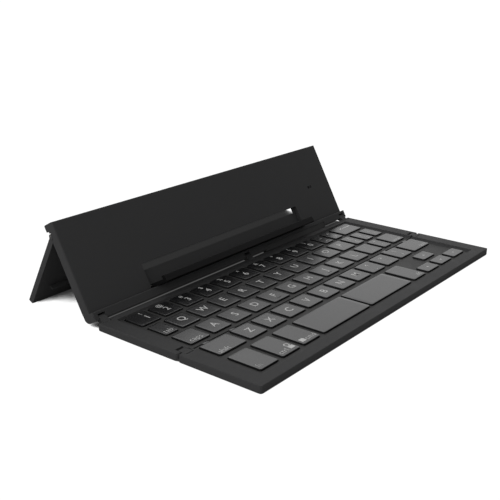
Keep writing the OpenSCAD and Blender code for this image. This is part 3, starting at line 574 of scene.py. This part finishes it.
def key_boxes(node):
    """The outlines (x0, y0, x1, y1) in millimetres of the keys in one node: the widths of a
    row and equal gaps between them fill the node's box."""
    low, high = (np.array(corner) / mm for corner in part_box(node))
    widths = np.array(ROW_WIDTHS.get(node, [high[0] - low[0]]))
    gap = (high[0] - low[0] - widths.sum()) / max(1, len(widths) - 1)
    left = low[0] + np.concatenate([[0], np.cumsum(widths + gap)[:-1]])
    return np.stack([left, np.full_like(left, low[1]), left + widths,
                     np.full_like(left, high[1])], -1)


key_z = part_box("key_fn")[0].z / mm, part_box("key_fn")[1].z / mm
curve = np.radians(np.linspace(0, 90, 5))
cap_rings = [(0, KEY_WALL, HOLLOW_CORNER, key_z[1] - KEY_TOP),
             (1, KEY_WALL, HOLLOW_CORNER, key_z[1] - KEY_TOP),
             (1, KEY_WALL, HOLLOW_CORNER, key_z[0]), (1, 0, KEY_CORNER, key_z[0])]
cap_rings += [(1, KEY_FILLET * (1 - math.cos(a)), KEY_CORNER - KEY_FILLET * (1 - math.cos(a)),
               key_z[1] - KEY_FILLET * (1 - math.sin(a))) for a in curve]
cap_rings += [(s, KEY_FILLET, KEY_CORNER - KEY_FILLET, key_z[1] - KEY_DISH * (1 - s * s))
              for s in DISH_SHARES]
bar_top = key_z[1] - BAR_FOOT + BAR_HIGH
bar_rings = [(share, 0, BAR_CORNER, key_z[1] - BAR_SUNK) for share in (0, 1)]
bar_rings += [(1, inset, BAR_CORNER - inset, bar_top - below) for inset, below in BAR_EDGE]
bar_rings.append((0, *bar_rings[-1][1:]))
for node in (name for name in nodes if name.startswith("key")):
    boxes = key_boxes(node)
    verts, walls, ends = closed_shells(ring_points(boxes, cap_rings))
    where = np.repeat(boxes, len(verts) // len(boxes), axis=0)
    if node in BARS_ON:
        chosen = boxes[list(BARS_ON[node])]
        middle = (chosen[:, 0] + chosen[:, 2]) / 2
        front = chosen[:, 1] + BAR_BACK
        bars = np.stack([middle - BAR_LONG / 2, front, middle + BAR_LONG / 2,
                         front + BAR_DEEP], -1)
        more, more_walls, more_ends = closed_shells(ring_points(bars, bar_rings, 3))
        walls = np.concatenate([walls, more_walls + len(verts)])
        ends = np.concatenate([ends, more_ends + len(verts)])
        verts = np.concatenate([verts, more])
        where = np.concatenate([where, np.repeat(chosen, len(more) // len(bars), axis=0)])
    mesh = mesh_of(node + "_cap", verts, walls, ends, sharp=32)
    # the map "top" runs from 0 to 1 across each key's outline
    share = (verts[:, :2] - where[:, :2]) / (where[:, 2:] - where[:, :2])
    corners = np.empty(len(mesh.loops), np.int32)
    mesh.loops.foreach_get("vertex_index", corners)
    mesh.uv_layers.new(name="top").data.foreach_set("uv", share[corners].ravel())
    cap = add_object(node + "_cap", mesh)
    cap.data.materials.append(key_plastic)
    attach(cap, node)
    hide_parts(node)


# ---- Coves ----
# The deck meets the rim of each tray in a hollow cove, a thin moulded strip that is
# welded round the three closed sides of the key well and hides the glue line.
COVE_WIDE = 1.7           # how far it reaches in over the deck, at the sides and in front
COVE_NARROW = 0.5         # the same behind the number row
COVE_LOW = 0.15           # how far below the rim it starts
COVE_GAP = 0.05           # from the deck's edge to the wall
COVE_SUNK = 0.05          # how far its underside is let into the deck
COVE_STEPS = 7


def cove(name, deck, body, open_y, end_y, reach):
    """A strip along three sides of a key well, from open_y to end_y, across and back. Its
    section is a hollow quarter of an ellipse, (1 - cos t) inwards and (1 - sin t) up, closed
    by a flat underside. The reach is how far it comes in at end_y, less than 0 to the front."""
    wall_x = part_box(deck)[1].x / mm + COVE_GAP
    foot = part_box(deck)[1].z / mm
    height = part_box("front_tray")[1].z / mm - COVE_LOW - foot
    t = np.radians(np.linspace(0, 90, COVE_STEPS))
    inward = np.concatenate([1 - np.cos(t), [1, 0]])
    up = foot + np.concatenate([height * (1 - np.sin(t)), [-COVE_SUNK, -COVE_SUNK]])
    n = len(inward)
    x = wall_x - COVE_WIDE * inward
    y = end_y + reach * inward
    verts = np.concatenate([np.c_[-x, np.full(n, open_y), up], np.c_[-x, y, up],
                            np.c_[x, y, up], np.c_[x, np.full(n, open_y), up]])
    i, j = np.meshgrid(np.arange(3), np.arange(n), indexing="ij")
    k = (j + 1) % n
    walls = np.stack([i * n + j, i * n + k, (i + 1) * n + k, (i + 1) * n + j], -1).reshape(-1, 4)
    ends = np.stack([np.arange(n)[::-1], 3 * n + np.arange(n)])
    if reach > 0:
        walls, ends = walls[:, ::-1], ends[:, ::-1]
    strip = add_object(name, mesh_of(name, verts, walls, ends))
    strip.data.materials.append(case_plastic)
    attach(strip, body)


cove("front_cove", "front_deck", "front_panel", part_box("front_deck")[1].y / mm,
     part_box("front_deck")[0].y / mm - COVE_GAP, COVE_WIDE)
cove("rear_cove", "rear_deck", "rear_panel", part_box("rear_deck")[0].y / mm,
     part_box("rear_deck")[1].y / mm + COVE_GAP, -COVE_NARROW)


# ---- Seam stops ----
# Behind the lower row, four small glossy stops stand on the front deck's rear edge. They
# are moulded like the keys, pressed into the deck, and end just below the keys' tops.
STOP_X = (-95.0, -75.7, 68.4, 93.8)
STOP_SIZE = (4.3, 1.45)           # width and depth
STOP_LOW = 0.08                   # how far its top lies below the keys' tops
STOP_BACK = 0.05                  # from its back to the tray's rear edge
STOP_SUNK = 0.02                  # how far its foot is let into the deck
STOP_CORNER, STOP_TOP_CORNER = 0.15, 0.10
STOP_EDGE = 0.10                  # rounding of its top's edge
STOP_EASE = 0.3                   # the share of that rounding at its middle point

stop_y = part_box("front_tray")[1].y / mm - STOP_BACK
stop_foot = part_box("front_deck")[1].z / mm - STOP_SUNK
stop_top = key_z[1] - STOP_LOW
stop_rings = [(0, 0, STOP_CORNER, stop_foot), (1, 0, STOP_CORNER, stop_foot),
              (1, 0, STOP_CORNER, stop_top - STOP_EDGE),
              (1, STOP_EDGE * STOP_EASE, STOP_CORNER, stop_top - STOP_EDGE * STOP_EASE),
              (1, STOP_EDGE, STOP_TOP_CORNER, stop_top), (0, STOP_EDGE, STOP_TOP_CORNER, stop_top)]
stop_boxes = np.array([[x - STOP_SIZE[0] / 2, stop_y - STOP_SIZE[1],
                        x + STOP_SIZE[0] / 2, stop_y] for x in STOP_X])
stops = add_object("seam_stops", mesh_of("seam_stops", *closed_shells(
    ring_points(stop_boxes, stop_rings, 3)), sharp=32))
stops.data.materials.append(key_plastic)
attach(stops, "front_panel")


# ---- Legends ----
# The signs are pad-printed on the tops in pale grey ink and cured, so the ink lies a
# hundredth of a millimetre proud. Letters stand in the middle of a key, and words low
# down on it; paired signs share a key, the shifted one towards the rear.
INK_COLOUR = (0.42, 0.42, 0.415)
DIM_INK = (0.25, 0.25, 0.25)      # the fn key's sign is fainter
INK_PROUD = 0.012
CAPITAL = 0.727           # height of a capital as a share of the letter size
LETTER_SIZE, DIGIT_SIZE, SIGN_SIZE, SHIFTED_SIZE = 6.3, 5.9, 4.4, 4.1
# how much wider each side of a stroke is drawn, as a share of the letter size
SIGN_STROKE, WORD_STROKE = 0.005, -0.012
# where a letter, a digit, its shifted sign, and a pair of signs stand on a key, as shares
# of its width and depth
LETTER_AT = {"keys_upper_row": (0.53, 0.58), "keys_home_row": (0.54, 0.51),
             "keys_lower_row": (0.54, 0.51)}
DIGIT_AT, SHIFTED_AT, PAIR_AT = (0.53, 0.47), (0.48, 0.855), ((0.53, 0.25), (0.53, 0.72))
ONE_ACROSS = 0.70         # 1 and ! stand further to the right
PRINTED = {"keys_number_row": ["1!", "2@", "3#", "4$", "5%", "6^", "7&", "8*", "9(", "0)",
                               "-_", "=+"],
           "keys_upper_row": list("QWERTYUIOP") + ["[{", "]}", "\\|"],
           "keys_home_row": list("ASDFGHJKL") + [";:", "'\""],
           "keys_lower_row": list("ZXCVBNM") + [",<", ".>", "/?"]}
# a word's key, its size, its anchor, and the place of the anchor: millimetres from the
# key's left or right side, or past its middle, and from its front edge to mid-height
WORDS = [("key_tab", "tab", 4.7, "CENTER", -0.3, 3.0),
         ("key_caps", "caps", 4.8, "CENTER", -0.6, 3.0),
         ("key_shift_left", "shift", 4.5, "LEFT", 1.6, 2.3),
         ("key_shift_right", "shift", 4.5, "RIGHT", 1.0, 2.4),
         ("key_enter", "enter", 4.5, "RIGHT", 1.0, 2.4),
         ("key_fn", "fn", 4.5, "LEFT", 1.3, 3.3),
         ("key_ctrl", "ctrl", 4.5, "LEFT", 1.4, 3.3),
         ("key_cmd", "cmd", 4.5, "LEFT", 5.4, 3.3),
         ("key_alt", "alt", 4.5, "RIGHT", 1.3, 3.1)]
# small plates beside a word: the place of the middle from the key's left and front edges,
# half the width, half the depth, and the radius of the corners
RING_OUTSIDE, RING_INSIDE = (10.4, 5.9, 1.45, 1.55, 1.3), (10.4, 5.9, 0.95, 1.05, 0.8)
BLOCK_UNDER_RING = (10.6, 3.2, 1.7, 1.25, 0.3)
BLOCK_BY_CMD = (3.0, 3.3, 1.6, 1.5, 0.4)
# the arrow on the delete key: the place of its point, its length, the width of its stroke,
# the length and half the width of its head, and how far the stroke reaches into the head
BACK_AT, BACK_LONG, BACK_STROKE = (5.6, 8.2), 12.0, 0.9
BACK_HEAD, BACK_HEAD_HALF, BACK_OVERLAP = 3.0, 1.6, 0.6
ARROW_RADIUS = 1.0        # from the middle of an arrow key's triangle to its corners
ARROWS = (("key_up", 90), ("key_left", 180), ("key_down", 270), ("key_right", 0))


def printing_ink(name, colour):
    """Matt ink with fine pores, a fifth darker where it lies thin."""
    material, tree = new_material(name)
    pores = noise(tree, place_in(tree), 4200.0, 3.0)
    thin = tuple(c * 0.8 for c in colour)
    surface(tree, {"Base Color": blend(tree, spread(tree, pores, 0.3, 0.6), thin, colour),
                   "Roughness": combine(tree, "MULTIPLY_ADD", pores, 0.2, 0.38),
                   "Normal": bump(tree, pores, 0.4, 0.004)})
    return material


ink = printing_ink("legend_ink", INK_COLOUR)
dim_ink = printing_ink("dim_ink", DIM_INK)


def lettering(signs):
    """Flat lettering in millimetres. Each sign is (text, size, anchor, x, y of mid-height):
    it is set in Blender's own font with its strokes a little widened or thinned, made a mesh,
    and moved so that its printed edge or middle is at x. The result is (vertices, faces) for
    each sign."""
    set_up = []
    for text, size, anchor, x, y in signs:
        stroke = SIGN_STROKE if len(text) == 1 else WORD_STROKE
        writing = bpy.data.curves.new("writing", "FONT")
        writing.body = text
        writing.size = size
        writing.offset = stroke * size
        writing.extrude = INK_PROUD / 2
        writing.resolution_u = 3
        set_up.append(add_object("writing", writing))
    shapes = bpy.context.evaluated_depsgraph_get()
    printed = []
    for thing, (text, size, anchor, x, y) in zip(set_up, signs):
        mesh = bpy.data.meshes.new_from_object(thing.evaluated_get(shapes))
        verts = np.empty(len(mesh.vertices) * 3)
        mesh.vertices.foreach_get("co", verts)
        verts = verts.reshape(-1, 3)
        left, right = verts[:, 0].min(), verts[:, 0].max()
        verts[:, 0] += x - {"LEFT": left, "RIGHT": right, "CENTER": (left + right) / 2}[anchor]
        verts[:, 1] += y - CAPITAL * size / 2
        printed.append((verts, [list(p.vertices) for p in mesh.polygons]))
        bpy.data.meshes.remove(mesh)
        writing = thing.data
        bpy.data.objects.remove(thing)
        bpy.data.curves.remove(writing)
    return printed


def plate(outline, hole=None):
    """A flat plate: its outline (x, y) in order, carried up by the ink's thickness. With a
    hole, quads join each point of the outline to the same point of the hole."""
    outline = np.array(outline, float)
    n = len(outline)
    j = np.arange(n)
    k = (j + 1) % n
    loops = [outline] if hole is None else [outline, np.array(hole, float)]
    flat = np.concatenate(loops)
    verts = np.concatenate([np.c_[flat, np.full(len(flat), z)]
                            for z in (-INK_PROUD / 2, INK_PROUD / 2)])
    m = len(flat)
    sides = np.stack([j, k, m + k, m + j], -1).tolist()
    if hole is None:
        return verts, sides + [j[::-1].tolist(), (m + j).tolist()]
    sides += np.stack([n + k, n + j, m + n + j, m + n + k], -1).tolist()
    sides += np.stack([m + j, m + k, m + n + k, m + n + j], -1).tolist()
    sides += np.stack([k, j, n + j, n + k], -1).tolist()
    return verts, sides


def bar_between(a, b, width):
    """The four corners of a straight stroke of that width from a to b."""
    a, b = np.array(a, float), np.array(b, float)
    along = (b - a) / np.linalg.norm(b - a)
    across = np.array([along[1], -along[0]]) * width / 2
    return [a + across, b + across, b - across, a - across]


def badge(node, across, back, half_width, half_depth, radius):
    """The outline of a rectangle with rounded corners, from the rings of the key caps. Its
    middle is that far across and back from the left and front edges of a key."""
    x, y = key_boxes(node)[0, :2] + (across, back)
    box = np.array([[x - half_width, y - half_depth, x + half_width, y + half_depth]])
    return ring_points(box, [(1, 0, radius, 0)])[0, 0, :, :2]


signs = []                # (key node, sign)
for node, printed in PRINTED.items():
    for (x0, y0, x1, y1), text in zip(key_boxes(node), printed):
        if len(text) == 1:
            spots = [(text, LETTER_SIZE, LETTER_AT[node])]
        elif text[0].isdigit():
            spots = [(text[0], DIGIT_SIZE, DIGIT_AT), (text[1], SHIFTED_SIZE, SHIFTED_AT)]
        else:
            spots = [(text[0], SIGN_SIZE, PAIR_AT[0]), (text[1], SIGN_SIZE, PAIR_AT[1])]
        for sign, size, (across, back) in spots:
            if sign in "1!":
                across = ONE_ACROSS
            signs.append((node, (sign, size, "CENTER", x0 + across * (x1 - x0),
                                 y0 + back * (y1 - y0))))
for node, text, size, anchor, inset, up in WORDS:
    x0, y0, x1, y1 = key_boxes(node)[0]
    x = {"LEFT": x0, "RIGHT": x1 - 2 * inset, "CENTER": (x0 + x1) / 2}[anchor] + inset
    signs.append((node, (text, size, anchor, x, y0 + up)))
legends = {}
for (node, _), shape in zip(signs, lettering([sign for _, sign in signs])):
    legends.setdefault(node, []).append(shape)

legends["key_ctrl"] += [plate(badge("key_ctrl", *RING_OUTSIDE), badge("key_ctrl", *RING_INSIDE)),
                        plate(badge("key_ctrl", *BLOCK_UNDER_RING))]
legends["key_cmd"].append(plate(badge("key_cmd", *BLOCK_BY_CMD)))
x, y = key_boxes("key_delete")[0, :2] + BACK_AT
legends["key_delete"] = [
    plate(bar_between((x + BACK_HEAD - BACK_OVERLAP, y), (x + BACK_LONG, y), BACK_STROKE)),
    plate([(x, y), (x + BACK_HEAD, y - BACK_HEAD_HALF), (x + BACK_HEAD, y + BACK_HEAD_HALF)])]
for node, turn in ARROWS:
    x0, y0, x1, y1 = key_boxes(node)[0]
    corners = np.radians(turn + np.array([0, 120, 240]))
    legends[node] = [plate(np.stack([(x0 + x1) / 2 + ARROW_RADIUS * np.cos(corners),
                                     (y0 + y1) / 2 + ARROW_RADIUS * np.sin(corners)], -1))]


def on_keys(points):
    """Carries flat points (x, y, height) onto the edge of the key tops, straight up."""
    return points + (0, 0, key_z[1] + INK_PROUD / 2)


def print_on(name, shapes, body, material, lift=on_keys):
    """Joins flat shapes into one piece of ink on a body. The lift is a function from flat
    (x, y, z) in millimetres to the place on the keyboard."""
    verts, faces, count = [], [], 0
    for some, outlines in shapes:
        verts.append(some)
        faces += [[corner + count for corner in outline] for outline in outlines]
        count += len(some)
    mesh = bpy.data.meshes.new(name)
    mesh.from_pydata((lift(np.concatenate(verts)) * mm).tolist(), [], faces)
    mesh.update()
    piece = add_object(name, mesh)
    piece.data.materials.append(material)
    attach(piece, body)


for node, shapes in legends.items():
    print_on("legend_" + node.split("_", 1)[1], shapes, node, dim_ink if node == "key_fn" else ink)


# ---- Stand panel ----
# The stand panel is one grained moulding with a back cover let into it, black like the
# trays. A rubber nose along its foot hides the flat cable from the rear panel.
SHELL_EDGE, COVER_EDGE = 0.12, 0.05
NOSE_COLOUR = (0.011, 0.011, 0.011)
NOSE_ROUGHNESS = 0.66
NOSE_DUSTY = 0.12
NOSE_EDGE = 0.10

finish_node("stand_shell", case_plastic, SHELL_EDGE)
finish_node("stand_back", case_plastic, COVER_EDGE)
nose_rubber = rubber("nose_rubber", NOSE_COLOUR, NOSE_ROUGHNESS, NOSE_DUSTY)
finish_node("cable_cover", nose_rubber, NOSE_EDGE)


# ---- Battery and electronics ----
# Behind the front skin lie a flat cell in crimped foil, the main board, the charging
# socket folded from plated steel, and a light guide of smoked plastic for the status
# light. Two small rings are printed in black, one round the light and one beside it.
FOIL_COLOUR, FOIL_DULL = (0.66, 0.66, 0.68), (0.50, 0.50, 0.52)
BATTERY_EDGE = 0.25
MAIN_TRACKS = 1.3
SOCKET_COLOUR = (0.62, 0.62, 0.63)
SOCKET_ROUGHNESS = 0.22
SOCKET_EDGE = 0.04
GUIDE_COLOUR, GUIDE_CLOUD = (0.0025, 0.0025, 0.0027), (0.005, 0.005, 0.0055)
GUIDE_EDGE = 0.05
CREASE_Y, CREASE_Z = 29.603, 7.35       # the line about which the panel leans back
LEAN = math.radians(29.0)
# printed rings: place on the face (from the middle, above the crease), outer and inner radius
RINGS = (((90.0, 22.7), 0.95, 0.50), ((92.3, 22.7), 0.85, 0.30))

foil, tree = new_material("battery_foil")
place = place_in(tree)
folds = add_node(tree, "ShaderNodeTexVoronoi", {"Vector": place, "Scale": 90.0},
                 feature="DISTANCE_TO_EDGE").outputs["Distance"]
ripple = noise(tree, place, 150.0, 5.0, Distortion=1.5)
creased = combine(tree, "ADD", spread(tree, folds, 0.0, 0.08),
                  combine(tree, "MULTIPLY", ripple, 0.6))
surface(tree, {"Base Color": blend(tree, spread(tree, ripple, 0.4, 0.7), FOIL_COLOUR, FOIL_DULL),
               "Metallic": 0.9, "Roughness": combine(tree, "MULTIPLY_ADD", ripple, 0.25, 0.22),
               "Normal": bump(tree, creased, 0.8, 0.06)})
finish_node("battery", foil, BATTERY_EDGE)
finish_node("main_board", circuit_board("main_board_mask", MAIN_TRACKS), BOARD_EDGE)
finish_node("charging_port", steel("socket_steel", SOCKET_COLOUR, SOCKET_ROUGHNESS),
            SOCKET_EDGE)

guide, tree = new_material("light_guide")
milk = noise(tree, place_in(tree), 2400.0, 3.0)
surface(tree, {"Base Color": blend(tree, milk, GUIDE_COLOUR, GUIDE_CLOUD),
               "Roughness": combine(tree, "MULTIPLY_ADD", milk, 0.15, 0.32),
               "Specular IOR Level": 0.03, "Normal": bump(tree, milk, 0.3, 0.01)})
finish_node("status_light", guide, GUIDE_EDGE)


def stand_face(points):
    """Carries flat points (x, height above the crease, height off the face) onto the front
    face of the stand panel, which leans back by the lean about the crease."""
    x, up, off = points.T
    return np.stack([x, CREASE_Y + up * math.sin(LEAN) - off * math.cos(LEAN),
                     CREASE_Z + up * math.cos(LEAN) + off * math.sin(LEAN)], -1)


def circle(x, y, radius, count=32):
    """Points round a circle: (cos a, sin a) times the radius."""
    a = np.arange(count) * 2 * np.pi / count
    return np.stack([x + radius * np.cos(a), y + radius * np.sin(a)], -1)


print_on("status_ring", [plate(circle(*at, outer), circle(*at, inner))
                         for at, outer, inner in RINGS], "stand_panel", guide,
         lambda points: stand_face(points + (0, 0, INK_PROUD / 2)))


# ---- Ledge ----
# The ledge that carries the phone is a stiff bracket, coloured a deeper black than the
# case. It turns on two short steel pins, pressed into its ends, which are coloured near black
# as painted shade, for the shadow of the phone on the ledge.
LEDGE_COLOUR = (0.006, 0.006, 0.0062)
LEDGE_ROUGHNESS = 0.45
LEDGE_GRAIN_DEPTH = 0.006
LEDGE_SHINE = 0.05
# the ledge's edge wear is turned up so that its lighter rubbed edge also draws the highlight along
# the lip's top edge: partly wear, partly painted highlight
LEDGE_WEAR_AND_HIGHLIGHT = 0.9
LEDGE_EDGE = 0.22
# the pins' near-black colour is painted shade for the phone's shadow over them
PIN_PAINTED_SHADE_COLOUR, BLACK_ROUGHNESS = (0.035, 0.035, 0.037), 0.3

ledge_plastic = plastic("ledge_plastic", LEDGE_COLOUR, LEDGE_ROUGHNESS, CASE_GRAIN,
                        LEDGE_GRAIN_DEPTH, LEDGE_SHINE, LEDGE_WEAR_AND_HIGHLIGHT)
finish_node("ledge", ledge_plastic, LEDGE_EDGE)
finish_node("ledge_pins", steel("painted_shade_steel", PIN_PAINTED_SHADE_COLOUR, BLACK_ROUGHNESS), PIN_EDGE)


# ---- Leg ----
# The leg is a wide flat flap with two rails inside, moulded like the trays, on one long steel
# pin coloured near black. A strip of rubber along its end keeps it from sliding on the table.
DARK_STEEL, DARK_ROUGHNESS = (0.05, 0.05, 0.052), 0.4
LEG_EDGE = 0.12

finish_node("leg", case_plastic, LEG_EDGE)
finish_node("leg_pin", steel("dark_steel", DARK_STEEL, DARK_ROUGHNESS), PIN_EDGE)
finish_node("leg_strip", foot_rubber, FOOT_EDGE)
